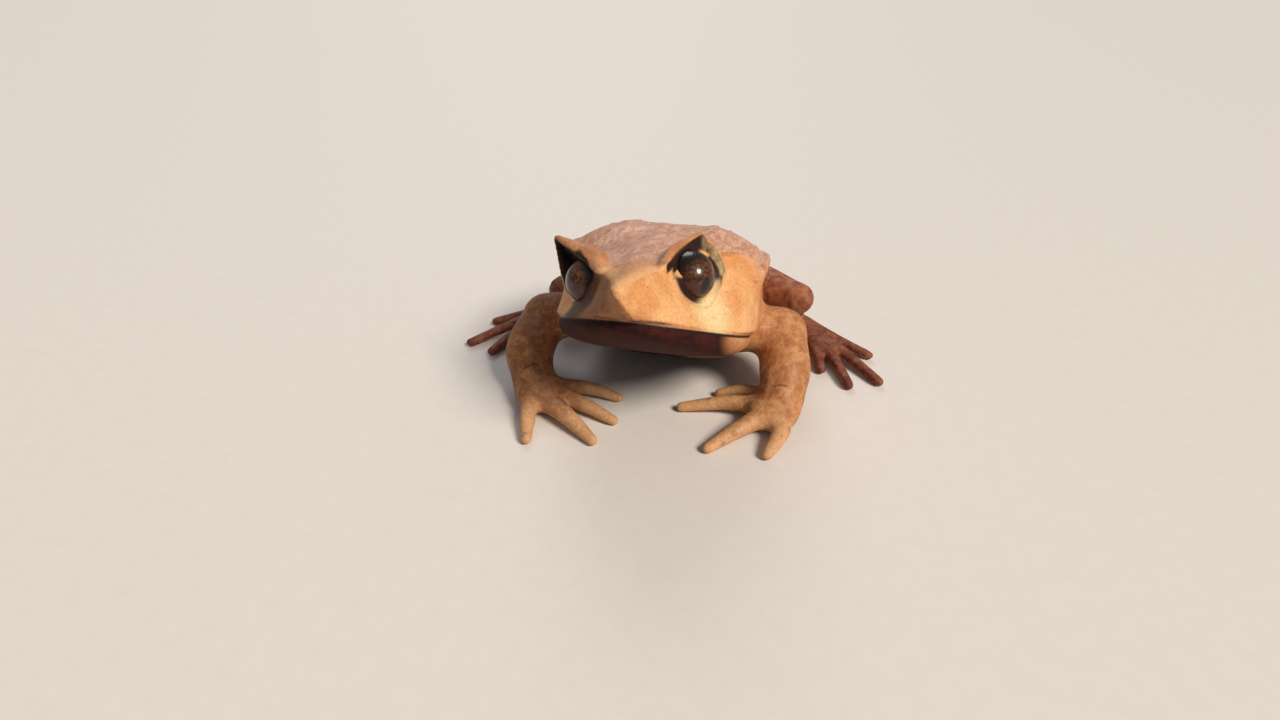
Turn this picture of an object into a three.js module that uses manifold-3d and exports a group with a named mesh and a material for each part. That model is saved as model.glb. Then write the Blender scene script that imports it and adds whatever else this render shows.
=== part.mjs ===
// A Malayan horned frog sitting on a floor, as a life-size still model, in millimetres.
// +Z is up, the frog faces -Y and its left side is at +X.
// The origin is the middle of the flat under its belly, on the floor.
import * as THREE from "three";
import { mergeVertices } from "three/addons/utils/BufferGeometryUtils.js";
import Module from "manifold-3d";

const wasm = await Module();
wasm.setup();

// The head is measured in a frame of its own: across to the left, forward from the corners of
// the mouth, and up from the line of the mouth.
const MOUTH_CORNER_Y = -30;
const MOUTH_CORNER_Z = 17;
const HEAD_PITCH = THREE.MathUtils.degToRad(24.5);
const FACE_LEAN = THREE.MathUtils.degToRad(8);

// Upper lip seen from above: half its width at the corners, its reach and how square it is.
const LIP_HALF = 19.5;
const LIP_REACH = 28.5;
const LIP_POWER = 1.75;
const LIP_RISE = 2.2;

// The sharp edge round the crown, from the snout tip over the eyes to the ear region.
const CROWN_HALF = 17.4;
const CROWN_REACH = 34.5;
const CROWN_POWER = 0.9;
const NOSE_HALF = 1.3;
const NOSE_BACK = 27;
const NOSE_LENGTH = 7.5;
const BROW_HEIGHT = 13;
const SNOUT_TIP_HEIGHT = 7.8;
const CROWN_HEIGHT = 18.2;
const HEAD_BACK = -8;

const JAW_DEPTH = 4.7;
const JAW_INSET = 0.7;

const EYE_RADIUS = 4.6;
const EYE_ACROSS = 8.8;
const EYE_FORWARD = 15.5;
const EYE_UP = 9.1;
const LID_THICKNESS = 0.8;
const LID_OPENING = 2.6;
const BROW_OPENING = 1.9;

// A horn is a pointed flap of the upper lid. Its root runs from before the eye, over it and
// round behind it, and the far edge swells a little on its way to the tip.
const HORN_ROOT = [[5.2, 22, 10.6], [7, 16.6, 13.9], [11.2, 10.4, 12.6], [13.6, 13, 7.8]];
const HORN_TIP = { left: [10.6, 11, 16.5], right: [16.4, 11, 17.6] };
const HORN_SWELL = { left: 1.6, right: 0.3 };
const HORN_ROOT_THICKNESS = 1.8;
const HORN_TIP_THICKNESS = 0.9;

const TRUNK_FRONT_Y = -33;
const TRUNK_END_Y = 27;

const CUT_GAP = 0.34;
const FLOOR_MARGIN = 60;

const TAN = 0xc08a55;
const PALE_TAN = 0xcf9f69;
const BROWN = 0x7a4630;
const ROSE_BROWN = 0x9a6c5c;
const DARK_BROWN = 0x2b140c;

const root = new THREE.Group();
root.name = "malayan_horned_frog";

// A value read from named stations [position, value], eased between them.
function along(stations, position) {
  const last = stations.length - 1;
  if (position <= stations[0][0]) return stations[0][1];
  if (position >= stations[last][0]) return stations[last][1];
  const i = stations.findIndex((station) => station[0] > position) - 1;
  const [p0, v0] = stations[i];
  const [p1, v1] = stations[i + 1];
  const slope = (v1 - v0) / (p1 - p0);
  const before = i > 0 ? (v1 - stations[i - 1][1]) / (p1 - stations[i - 1][0]) : slope;
  const after = i < last - 1 ? (stations[i + 2][1] - v0) / (stations[i + 2][0] - p0) : slope;
  const t = (position - p0) / (p1 - p0);
  const span = p1 - p0;
  const a = (2 * t ** 3 - 3 * t ** 2 + 1) * v0 + (t ** 3 - 2 * t ** 2 + t) * span * before;
  return a + (3 * t ** 2 - 2 * t ** 3) * v1 + (t ** 3 - t ** 2) * span * after;
}

function ease(from, to, x) {
  return THREE.MathUtils.smoothstep(x, from, to);
}

// Above the mouth the head leans a little, with its left side up.
function headPoint(across, forward, up) {
  const lean = FACE_LEAN * ease(-10, 4, forward) * ease(1.5, 8, up);
  const x = across * Math.cos(lean) - (up - 2) * Math.sin(lean);
  const u = 2 + (up - 2) * Math.cos(lean) + across * Math.sin(lean);
  return new THREE.Vector3(
    x,
    MOUTH_CORNER_Y - forward * Math.cos(HEAD_PITCH) + u * Math.sin(HEAD_PITCH),
    MOUTH_CORNER_Z + forward * Math.sin(HEAD_PITCH) + u * Math.cos(HEAD_PITCH),
  );
}

// A closed skin over rings of equally many points, each ring running the same way round.
function loft(rings) {
  const count = rings[0].length;
  const centre = (ring) =>
    ring.reduce((sum, p) => sum.add(p), new THREE.Vector3()).divideScalar(count);
  const points = rings.flat();
  const first = points.length;
  points.push(centre(rings[0]), centre(rings[rings.length - 1]));
  const faces = [];
  for (let i = 0; i < rings.length - 1; i++) {
    for (let j = 0; j < count; j++) {
      const a = i * count + j;
      const b = i * count + ((j + 1) % count);
      faces.push(a, b, b + count, a, b + count, a + count);
    }
  }
  const start = (rings.length - 1) * count;
  for (let j = 0; j < count; j++) {
    const k = (j + 1) % count;
    faces.push(first, k, j, first + 1, start + j, start + k);
  }
  const geometry = new THREE.BufferGeometry().setFromPoints(points);
  geometry.setIndex(faces);
  return geometry;
}

function welded(geometry) {
  const bare = geometry.clone();
  bare.deleteAttribute("normal");
  bare.deleteAttribute("uv");
  return mergeVertices(bare, 1e-3);
}

function solid(geometry) {
  const merged = welded(geometry);
  const body = new wasm.Manifold(
    new wasm.Mesh({
      numProp: 3,
      vertProperties: new Float32Array(merged.attributes.position.array),
      triVerts: new Uint32Array(merged.index.array),
    }),
  );
  if (body.volume() > 0) return body;
  const turned = new Uint32Array(merged.index.array);
  for (let i = 0; i < turned.length; i += 3) {
    [turned[i + 1], turned[i + 2]] = [turned[i + 2], turned[i + 1]];
  }
  return new wasm.Manifold(
    new wasm.Mesh({
      numProp: 3,
      vertProperties: new Float32Array(merged.attributes.position.array),
      triVerts: turned,
    }),
  );
}

function geometryOf(body) {
  const mesh = body.getMesh();
  const points = new Float32Array(mesh.numVert * 3);
  for (let i = 0; i < mesh.numVert; i++) {
    for (let k = 0; k < 3; k++) points[3 * i + k] = mesh.vertProperties[mesh.numProp * i + k];
  }
  const geometry = new THREE.BufferGeometry();
  geometry.setAttribute("position", new THREE.BufferAttribute(points, 3));
  geometry.setIndex(new THREE.BufferAttribute(new Uint32Array(mesh.triVerts), 1));
  return geometry;
}

// The same body grown outward by the width of a cut.
function grown(body) {
  const geometry = geometryOf(body);
  geometry.computeVertexNormals();
  const position = geometry.attributes.position;
  const normal = geometry.attributes.normal;
  for (let i = 0; i < position.count; i++) {
    position.setXYZ(
      i,
      position.getX(i) + CUT_GAP * normal.getX(i),
      position.getY(i) + CUT_GAP * normal.getY(i),
      position.getZ(i) + CUT_GAP * normal.getZ(i),
    );
  }
  return solid(geometry);
}

// The head: rings across it from the back forward, under the palate, up the wall and over the crown.
function lipHeight(forward) {
  return LIP_RISE * (Math.min(Math.max(forward, 0), LIP_REACH) / LIP_REACH) ** 1.5;
}

function browHeight(forward) {
  const slope = SNOUT_TIP_HEIGHT + 0.24 * (CROWN_REACH - forward);
  return 0.5 * (slope + BROW_HEIGHT - Math.hypot(slope - BROW_HEIGHT, 0.5));
}

function crownHeight(forward) {
  const fall = 0.232 * forward + 0.0019 * forward ** 2;
  return Math.max(CROWN_HEIGHT - (forward > 0 ? fall : -0.12 * forward), browHeight(forward));
}

// Half the width of the head at a share of the way up its wall. Before the ears the wall hollows in.
function wallHalf(forward, height) {
  const hollow =
    THREE.MathUtils.lerp(1.5, 0.42, ease(2, 13, forward)) + 0.3 * ease(22, 32, forward);
  const share = height ** hollow;
  const width = LIP_HALF + (CROWN_HALF - LIP_HALF) * share;
  const reach = LIP_REACH + (CROWN_REACH - LIP_REACH) * share;
  const power = LIP_POWER + (CROWN_POWER - LIP_POWER) * share;
  const rear = 1 - 0.0032 * Math.max(-forward, 0) ** 2;
  const front = Math.max(1 - (Math.max(forward, 0) / reach) ** power, 0);
  const noseShare = Math.max(forward - NOSE_BACK, 0) / NOSE_LENGTH;
  const nose = forward > NOSE_BACK ? NOSE_HALF * share * Math.sqrt(Math.max(1 - noseShare ** 2, 0)) : 0;
  return Math.max(width * rear * front ** (1 / power), nose, 0.5);
}

function headRing(forward) {
  const low = Math.max(forward - LIP_REACH, 0) / (CROWN_REACH - LIP_REACH);
  const base = lipHeight(forward);
  const brow = browHeight(forward);
  const crown = crownHeight(forward);
  const heightAt = (share) => base + (brow - base) * share;
  const half = [];
  for (const t of [0, 0.6]) half.push([t * wallHalf(forward, low), heightAt(low)]);
  for (let i = 0; i <= 5; i++) {
    const share = low + (1 - low) * (i / 5);
    half.push([wallHalf(forward, share), heightAt(share)]);
  }
  const top = wallHalf(forward, 1);
  for (const t of [0.84, 0.58, 0.28]) {
    half.push([t * top, crown - (crown - brow) * t ** 2.2]);
  }
  const right = half.slice(1).reverse();
  const ring = half.map(([x, u]) => headPoint(x, forward, u));
  for (const [x, u] of right) ring.push(headPoint(-x, forward, u));
  return ring;
}

const headRings = [HEAD_BACK];
for (let i = 0; i <= 17; i++) {
  headRings.push(-5 + (CROWN_REACH + 4.8) * (i / 17) ** 0.85);
}
const skull = solid(loft(headRings.map(headRing)));

// The lower jaw and throat hang from the same outline, a little inside it.
function jawRing(forward) {
  const half = Math.max(wallHalf(forward * (LIP_REACH / (LIP_REACH - JAW_INSET)), 0) - JAW_INSET, 0.3);
  const top = lipHeight(forward) - 0.35;
  const depth = JAW_DEPTH * Math.sqrt(1 - 0.62 * Math.max(forward / LIP_REACH, 0) ** 2);
  const ring = [];
  for (let i = 0; i <= 12; i++) {
    const turn = (Math.PI * i) / 12;
    const x = half * Math.sign(Math.cos(turn)) * Math.abs(Math.cos(turn)) ** 0.8;
    const u = top - depth * Math.sin(turn) ** 0.75;
    ring.push(headPoint(-x, forward, u));
  }
  for (const t of [0.5, 0, -0.5]) ring.push(headPoint(t * half, forward, top));
  return ring;
}

const jawRings = [];
for (let i = 0; i <= 9; i++) {
  jawRings.push(-6 + (LIP_REACH + 5.2) * (i / 9) ** 0.8);
}
const lowerJaw = solid(loft(jawRings.map(jawRing)));

// One eyeball, and the lids that wrap it from below and behind, open before it and under the horn.
function eye(side) {
  return new THREE.SphereGeometry(EYE_RADIUS, 14, 9).applyMatrix4(
    new THREE.Matrix4().setPosition(headPoint(side * EYE_ACROSS, EYE_FORWARD, EYE_UP)),
  );
}

function lids(side) {
  const centre = headPoint(side * EYE_ACROSS, EYE_FORWARD, EYE_UP);
  const radius = EYE_RADIUS + LID_THICKNESS;
  const ball = solid(new THREE.SphereGeometry(radius, 14, 9).translate(...centre.toArray()));
  const gaze = new THREE.Vector3(side * 0.72, -0.69, -0.02);
  const browward = headPoint(side * (EYE_ACROSS + 1), EYE_FORWARD + 1.2, EYE_UP + 1.3).sub(centre);
  const beyond = (direction, distance) => {
    direction.normalize();
    const opening = new THREE.BoxGeometry(4 * radius, 4 * radius, 2 * radius)
      .translate(0, 0, radius)
      .applyQuaternion(
        new THREE.Quaternion().setFromUnitVectors(new THREE.Vector3(0, 0, 1), direction),
      )
      .translate(...centre.clone().addScaledVector(direction, distance).toArray());
    return solid(opening);
  };
  return ball.subtract(beyond(gaze, LID_OPENING)).subtract(beyond(browward, BROW_OPENING));
}

// A place on a horn: share runs along its root, and t from the root to the tip.
function hornPoint(side, hand, share, t) {
  const tip = HORN_TIP[hand];
  const curve = new THREE.CatmullRomCurve3(HORN_ROOT.map((foot) => new THREE.Vector3(...foot)));
  const chord = curve.getPoint(0).lerp(curve.getPoint(1), share);
  const foot = curve.getPoint(share).lerp(chord, t);
  const place = foot.lerp(new THREE.Vector3(...tip), t);
  place.x += HORN_SWELL[hand] * 6.75 * t * (1 - t) ** 2 * ease(0.4, 1, share);
  return headPoint(side * place.x, place.y, place.z);
}

// The flap is a patchwork of small convex cells, four from root to tip and seven along the root.
function hornCorners(side, hand, share, t) {
  const thick = THREE.MathUtils.lerp(HORN_ROOT_THICKNESS, HORN_TIP_THICKNESS, t) / 2;
  const at = hornPoint(side, hand, share, t);
  const onward = hornPoint(side, hand, share + 0.02, t).sub(hornPoint(side, hand, share - 0.02, t));
  const rise = hornPoint(side, hand, share, t + 0.05).sub(at);
  const out = new THREE.Vector3().crossVectors(onward, rise).normalize().multiplyScalar(thick);
  return [at.clone().add(out).toArray(), at.clone().sub(out).toArray()];
}

function horn(side, hand) {
  const corners = (i, k) => hornCorners(side, hand, 0.02 + (0.96 * k) / 7, (0.94 * i) / 4);
  const cells = [];
  for (let i = 0; i < 4; i++) {
    for (let k = 0; k < 7; k++) {
      const around = [[i, k], [i, k + 1], [i + 1, k], [i + 1, k + 1]];
      cells.push(wasm.Manifold.hull(around.flatMap(([row, column]) => corners(row, column))));
    }
  }
  return wasm.Manifold.union(cells);
}

// The trunk: a flat back that slopes to a ridge along each side, upright flanks and a round belly.
// Each row is [y, height of the back, of the ridge, of the belly, half-width at the ridge].
const TRUNK_SECTIONS = [
  [-33, 27, 22, 17, 13], [-29, 30.2, 24.6, 11.5, 18], [-24, 32.2, 27.2, 7, 20],
  [-18, 32.8, 27.8, 3.2, 20.4], [-12, 31.4, 26, 0.6, 20], [-4, 28.2, 22.4, -0.4, 18.8],
  [4, 23.6, 18.2, -0.4, 17], [12, 18, 13.6, -0.3, 15], [19, 13, 10, 0.2, 12.4],
  [24, 9.2, 7.4, 1.2, 9], [27, 5.8, 5.2, 3, 4],
];
const trunkMeasure = (column, y) =>
  along(TRUNK_SECTIONS.map((section) => [section[0], section[column]]), y);

function trunkRing(y) {
  const [top, ridge, bottom, half] = [1, 2, 3, 4].map((column) => trunkMeasure(column, y));
  const side = [
    [0.5, top - 0.02 * (top - ridge)],
    [0.74, THREE.MathUtils.lerp(top, ridge, 0.34)],
    [0.93, THREE.MathUtils.lerp(top, ridge, 0.8)],
    [1, ridge],
    [0.97, THREE.MathUtils.lerp(ridge, bottom, 0.2)],
    [0.975, THREE.MathUtils.lerp(ridge, bottom, 0.48)],
    [0.9, THREE.MathUtils.lerp(ridge, bottom, 0.74)],
    [0.7, THREE.MathUtils.lerp(ridge, bottom, 0.93)],
    [0.36, bottom],
  ];
  const left = side.map(([share, z]) => new THREE.Vector3(share * half, y, z));
  const right = side.map(([share, z]) => new THREE.Vector3(-share * half, y, z)).reverse();
  return [
    new THREE.Vector3(0, y, top + 0.2),
    ...left,
    new THREE.Vector3(0, y, bottom),
    ...right,
  ];
}

const trunkRings = [];
for (let i = 0; i <= 13; i++) {
  const share = 0.5 - 0.5 * Math.cos((Math.PI * i) / 13);
  trunkRings.push(trunkRing(THREE.MathUtils.lerp(TRUNK_FRONT_Y, TRUNK_END_Y, share)));
}
const trunk = solid(loft(trunkRings));

// A limb piece: round sections of a changing radius along a curve, with rounded ends.
// Each joint is [x, y, z, radius], and flatness makes a section lower than it is wide.
function limb(side, joints, { sides = 10, steps = 5, flatness = 1 } = {}) {
  const curve = new THREE.CatmullRomCurve3(
    joints.map(([x, y, z]) => new THREE.Vector3(side * x, y, z)),
  );
  const total = joints.length - 1;
  const lengths = curve.getLengths(total * 20);
  const stations = joints.map((joint, i) => [lengths[i * 20] / lengths[total * 20], joint[3]]);
  const ringAt = (t, scale, shift) => {
    const at = curve.getPointAt(t);
    const tangent = curve.getTangentAt(t);
    const across = new THREE.Vector3().crossVectors(tangent, new THREE.Vector3(0, 0, 1)).normalize();
    const over = new THREE.Vector3().crossVectors(across, tangent);
    const radius = along(stations, t);
    const ring = [];
    for (let i = 0; i < sides; i++) {
      const turn = (2 * Math.PI * i) / sides;
      ring.push(
        at
          .clone()
          .addScaledVector(tangent, shift * radius)
          .addScaledVector(across, radius * scale * Math.cos(turn))
          .addScaledVector(over, radius * scale * flatness * Math.sin(turn)),
      );
    }
    return ring;
  };
  const rings = [];
  for (const angle of [74, 36]) {
    const turn = THREE.MathUtils.degToRad(angle);
    rings.push(ringAt(0, Math.cos(turn), -Math.sin(turn)));
  }
  for (let i = 0; i <= steps; i++) rings.push(ringAt(i / steps, 1, 0));
  for (const angle of [36, 74]) {
    const turn = THREE.MathUtils.degToRad(angle);
    rings.push(ringAt(1, Math.cos(turn), Math.sin(turn)));
  }
  return solid(loft(rings));
}

// Where each arm's and leg's joints stand, as the frog holds them: [x, y, z, radius].
const SHOULDER = { left: [13, -21.5, 14.5, 5.6], right: [13, -21.5, 14.5, 5.6] };
const ELBOW = { left: [24.6, -18.6, 12, 4.7], right: [26.4, -20.5, 11, 4.6] };
const MID_FOREARM = { left: [26.1, -26.4, 7.8, 5.1], right: [27.2, -29.6, 7.6, 5.1] };
const WRIST = { left: [26, -31.8, 4.4, 4], right: [24.6, -35.4, 4.3, 4] };
const PALM = { left: [24.6, -34.4, 2.9, 5.2], right: [22.4, -38, 2.9, 5.2] };
const FINGERS = {
  left: [
    [[23.6, -30, 3.2, 1.9], [18, -27.6, 2.2, 1.45], [13.3, -27.5, 0.95, 1.05]],
    [[23, -33, 2.9, 2.1], [15, -32.8, 2.3, 1.6], [6.4, -34.3, 1, 1.1]],
    [[24, -35.6, 2.8, 2.3], [19.5, -40, 2.4, 1.85], [13.4, -46.4, 1, 1.15]],
    [[26, -36.4, 2.7, 2.3], [26.5, -40, 2.3, 1.8], [24.4, -46, 1, 1.15]],
  ],
  right: [
    [[20.6, -35.4, 3.1, 1.9], [13, -33.4, 2.2, 1.45], [7, -33.7, 0.95, 1.05]],
    [[20.6, -37.6, 2.9, 2.1], [12.7, -39.5, 2.3, 1.6], [6, -41.8, 1, 1.1]],
    [[21.6, -39.6, 2.8, 2.3], [14.9, -44.1, 2.4, 1.85], [8.4, -48.8, 1, 1.15]],
    [[23.4, -40, 2.7, 2.1], [22.5, -45.2, 2.3, 1.65], [20.8, -51.2, 1, 1.1]],
  ],
};
const HIP = { left: [7, 15.5, 8.6, 6.6], right: [7, 15.5, 8.6, 6.6] };
const MID_THIGH = { left: [18, 6.4, 10.2, 5.7], right: [18, 6.4, 9.8, 5.7] };
const KNEE = { left: [27.6, -1.2, 11.8, 3.4], right: [27.8, -3.4, 9, 3.6] };
const MID_SHANK = { left: [25.6, 7.5, 6.6, 4], right: [25, 6.5, 6.4, 4] };
const ANKLE = { left: [17, 19.5, 3.2, 2.9], right: [17, 19.5, 3.2, 2.9] };
const INSTEP = { left: [28, 5, 2.3, 2.6], right: [28, 2, 2.3, 2.6] };
const RIGHT_TOES_FORWARD = 3;
const TOES = [
  [[27, 2, 2.2, 1.7], [28.6, -2.2, 1.6, 1.3], [29, -6.4, 1, 1.15]],
  [[28.4, 2, 2.2, 1.8], [32.4, -5.4, 1.8, 1.35], [34.2, -13.6, 1, 1.15]],
  [[29.4, 2.8, 2.2, 1.9], [35.8, -7.2, 2, 1.4], [40, -18.8, 1, 1.15]],
  [[30, 4, 2.2, 2], [38, -5.2, 2, 1.45], [46.4, -16, 1, 1.15]],
  [[30, 5.4, 2.2, 1.9], [37.4, -0.2, 1.8, 1.35], [44.8, -5, 1, 1.15]],
];

const uncut = [];

function add(name, body, colour, roughness = 0.62) {
  uncut.push({ name, body, colour, roughness });
}

for (const [side, hand] of [[1, "left"], [-1, "right"]]) {
  add("eye_" + hand, solid(eye(side)), DARK_BROWN, 0.12);
}
add("head", skull.add(lids(1)).add(lids(-1)), TAN);
add("lower_jaw", lowerJaw, BROWN);
add("horn_left", horn(1, "left"), PALE_TAN);
add("horn_right", horn(-1, "right"), PALE_TAN);
add("trunk", trunk, ROSE_BROWN);

for (const [side, hand] of [[1, "left"], [-1, "right"]]) {
  const forearm = [ELBOW[hand], MID_FOREARM[hand], WRIST[hand]];
  add("upper_arm_" + hand, limb(side, [SHOULDER[hand], ELBOW[hand]], { steps: 2 }), TAN);
  add("forearm_" + hand, limb(side, forearm), TAN);
  add("hand_" + hand, limb(side, [WRIST[hand], PALM[hand]], { steps: 3, flatness: 0.62 }), TAN);
  for (let i = 3; i >= 0; i--) {
    const finger = limb(side, FINGERS[hand][i], { sides: 8, steps: 4, flatness: 0.92 });
    add("finger_" + (i + 1) + "_" + hand, finger, PALE_TAN);
  }
  const shank = [KNEE[hand], MID_SHANK[hand], ANKLE[hand]];
  add("thigh_" + hand, limb(side, [HIP[hand], MID_THIGH[hand], KNEE[hand]]), BROWN);
  add("shank_" + hand, limb(side, shank), BROWN);
  add("foot_" + hand, limb(side, [ANKLE[hand], INSTEP[hand]], { steps: 3, flatness: 0.88 }), BROWN);
  for (const i of [3, 2, 4, 1, 0]) {
    const forward = side < 0 ? RIGHT_TOES_FORWARD : 0;
    const joints = TOES[i].map(([x, y, z, radius]) => [x, y - forward, z, radius]);
    const toe = limb(side, joints, { sides: 7, steps: 4, flatness: 0.92 });
    add("toe_" + (i + 1) + "_" + hand, toe, BROWN);
  }
}

// Each piece gives way to the ones before it, and the floor flattens what rests on it.
const floorBlock = new THREE.BoxGeometry(4 * FLOOR_MARGIN, 4 * FLOOR_MARGIN, FLOOR_MARGIN);
const underFloor = solid(floorBlock.translate(0, 0, -FLOOR_MARGIN / 2));

function touching(a, b) {
  const one = a.boundingBox();
  const two = b.boundingBox();
  return [0, 1, 2].every(
    (k) => one.min[k] - 1 < two.max[k] && two.min[k] - 1 < one.max[k],
  );
}

uncut.forEach(({ name, body, colour, roughness }, i) => {
  let cut = body.subtract(underFloor);
  for (const before of uncut.slice(0, i)) {
    if (touching(body, before.body)) cut = cut.subtract(grown(before.body));
  }
  const pieces = cut.decompose().sort((a, b) => b.volume() - a.volume());
  const material = new THREE.MeshStandardMaterial({ color: colour, roughness, metalness: 0 });
  const mesh = new THREE.Mesh(geometryOf(pieces[0]), material);
  mesh.name = name;
  root.add(mesh);
});

export default root;
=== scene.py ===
import math
import bpy
import numpy as np
from mathutils import Matrix


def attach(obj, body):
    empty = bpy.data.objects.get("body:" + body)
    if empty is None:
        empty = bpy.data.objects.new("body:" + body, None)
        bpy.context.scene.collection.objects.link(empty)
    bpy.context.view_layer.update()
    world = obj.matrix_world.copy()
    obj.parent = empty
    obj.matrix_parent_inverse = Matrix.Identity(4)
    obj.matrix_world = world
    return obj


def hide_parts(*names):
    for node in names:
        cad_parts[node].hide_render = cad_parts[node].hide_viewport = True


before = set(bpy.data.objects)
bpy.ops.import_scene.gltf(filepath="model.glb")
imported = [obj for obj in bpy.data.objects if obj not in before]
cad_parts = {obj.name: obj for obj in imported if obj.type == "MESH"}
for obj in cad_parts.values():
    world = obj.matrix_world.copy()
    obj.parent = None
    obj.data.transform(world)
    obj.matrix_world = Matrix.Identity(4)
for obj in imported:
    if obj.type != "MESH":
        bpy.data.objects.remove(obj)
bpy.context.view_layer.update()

# The frog's skin is one closed surface, from the snout to the toes. Its shape is a field of
# distances, in millimetres, on a grid that is finer round the head. Each part of the body is
# joined to the others with a soft fold, and the surface is drawn where the distance is nought.
MM = 0.001
BAND = 3.0
FLATTEST_SLOPE = 0.15


def spaced(*stretches):
    """Grid lines over stretches (from, to, step at the start, step at the end)."""
    lines = [stretches[0][0]]
    for low, high, first, last in stretches:
        while lines[-1] < high - 1e-6:
            share = (lines[-1] - low) / (high - low)
            lines.append(min(lines[-1] + first + (last - first) * share, high))
    return np.array(lines)


GRID = (
    spaced((-48, -24, 0.68, 0.52), (-24, 24, 0.4, 0.4), (24, 48, 0.52, 0.68)),
    spaced((-60.5, -54, 0.42, 0.34), (-54, -34, 0.34, 0.4), (-34, -12, 0.4, 0.68), (-12, 29, 0.7, 0.7)),
    spaced((-0.7, 7, 0.46, 0.46), (7, 14, 0.46, 0.4), (14, 39.5, 0.4, 0.4)),
)


def clamp(value, low=0.0, high=1.0):
    return np.clip(value, low, high)


def ease(low, high, value):
    t = clamp((value - low) / (high - low))
    return t * t * (3 - 2 * t)


def lerp(a, b, t):
    return a + (b - a) * t


def along(stations, position):
    """Values read from named stations (position, value), eased between them."""
    places, values = np.array(stations, float).T
    steps = np.diff(values) / np.diff(places)
    inner = (values[2:] - values[:-2]) / (places[2:] - places[:-2])
    slopes = np.concatenate([steps[:1], inner, steps[-1:]])
    position = clamp(position, places[0], places[-1])
    i = np.clip(np.searchsorted(places, position, side="right") - 1, 0, len(places) - 2)
    span = places[i + 1] - places[i]
    t = (position - places[i]) / span
    start = (2 * t**3 - 3 * t**2 + 1) * values[i] + (t**3 - 2 * t**2 + t) * span * slopes[i]
    return start + (3 * t**2 - 2 * t**3) * values[i + 1] + (t**3 - t**2) * span * slopes[i + 1]


def join(a, b, soft):
    """Union of two distance fields, with a fold as soft as given in millimetres."""
    h = clamp(0.5 + 0.5 * (b - a) / soft)
    return lerp(b, a, h) - soft * h * (1 - h)


def meet(a, b, soft):
    return -join(-a, -b, soft)


class Field:
    """Distances on the grid, changed block by block."""

    def __init__(self):
        self.values = np.full([len(lines) for lines in GRID], BAND * 2, np.float32)

    def block(self, low, high):
        return tuple(
            slice(max(int(np.searchsorted(lines, a)) - 1, 0), int(np.searchsorted(lines, b)) + 1)
            for lines, a, b in zip(GRID, low, high)
        )

    def change(self, low, high, distance, soft, how=join):
        block = self.block(low, high)
        places = np.meshgrid(*[lines[part] for lines, part in zip(GRID, block)], indexing="ij")
        found = distance(*places)
        self.values[block] = how(self.values[block], found, soft)


def steady(values, block):
    """A field divided by its own slope, so that it counts millimetres near its surface."""
    lines = [part_lines[part] for part_lines, part in zip(GRID, block)]
    slope = np.sqrt(sum(g**2 for g in np.gradient(values, *lines)))
    return clamp(values / np.maximum(slope, FLATTEST_SLOPE), -2 * BAND, 2 * BAND)


skin = Field()

# The trunk: a flat back that slopes down to the rump, a ridge along each side, upright flanks
# and a belly that rests flat on the floor. Sections are [y, back, ridge, belly, half-width].
TRUNK_SECTIONS = [
    [-33, 27, 22, 17, 13], [-29, 30.2, 24.6, 11.5, 18], [-24, 32.2, 27.2, 7, 20],
    [-18, 32.8, 27.8, 3.2, 20.4], [-12, 31.4, 26, 0.6, 20], [-4, 28.2, 22.4, -0.4, 18.8],
    [4, 23.6, 18.2, -0.4, 17], [12, 18, 13.6, -0.3, 15], [19, 13, 10, 0.2, 12.4],
    [24, 9.2, 7.4, 1.2, 9], [27, 5.8, 5.2, 3, 4],
]
TRUNK_LOW, TRUNK_HIGH = (-26, -36, -0.7), (26, 29, 38)
TRUNK_END_SOFT, TRUNK_SOFT = 1.5, 0.5


def trunk_measure(column, y):
    return along([[section[0], section[column]] for section in TRUNK_SECTIONS], y)


def trunk_outline(y):
    """Half a section's outline, (x, z), from the middle of the back to the middle of the belly."""
    top, ridge, bottom, half = [trunk_measure(column, y) for column in (1, 2, 3, 4)]
    return np.array([
        (0, top - 0.1), (0.25 * half, top), (0.5 * half, top - 0.02 * (top - ridge)),
        (0.74 * half, lerp(top, ridge, 0.34)), (0.93 * half, lerp(top, ridge, 0.8)), (half, ridge),
        (0.97 * half, lerp(ridge, bottom, 0.2)), (0.975 * half, lerp(ridge, bottom, 0.48)),
        (0.9 * half, lerp(ridge, bottom, 0.74)), (0.7 * half, lerp(ridge, bottom, 0.93)),
        (0.36 * half, bottom), (0, bottom),
    ])


def trunk_distance(x, y, z):
    found = np.empty_like(x)
    for k in range(x.shape[1]):
        outline = trunk_outline(float(y[0, k, 0]))
        middle = 0.5 * (outline[0, 1] + outline[-1, 1])
        angle = np.arctan2(outline[:, 1] - middle, outline[:, 0])[::-1]
        reach = np.hypot(outline[:, 0], outline[:, 1] - middle)[::-1]
        here = np.arctan2(z[:, k] - middle, np.abs(x[:, k]))
        rim = along(np.c_[angle, reach], here)
        found[:, k] = np.hypot(x[:, k], z[:, k] - middle) - rim
    ends = np.maximum(TRUNK_SECTIONS[0][0] - y, y - TRUNK_SECTIONS[-1][0])
    return steady(meet(found, ends, TRUNK_END_SOFT), skin.block(TRUNK_LOW, TRUNK_HIGH))


skin.change(TRUNK_LOW, TRUNK_HIGH, trunk_distance, TRUNK_SOFT)

# Thin folds of skin run along the back, two on each side: one on the ridge, and one nearer the
# middle. Each is a share of the half-width out and of the ridge's drop down, from one y to another.
FOLDS = ((0.985, 1.0, -27, 20), (0.42, 0.07, -19, 17))
FOLD_RADIUS, FOLD_SUNK, FOLD_STEPS, FOLD_SOFT = 0.5, 0.1, 24, 1.3
FOLD_FRONT_TAPER, FOLD_REAR_TAPER = 8, 10


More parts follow.
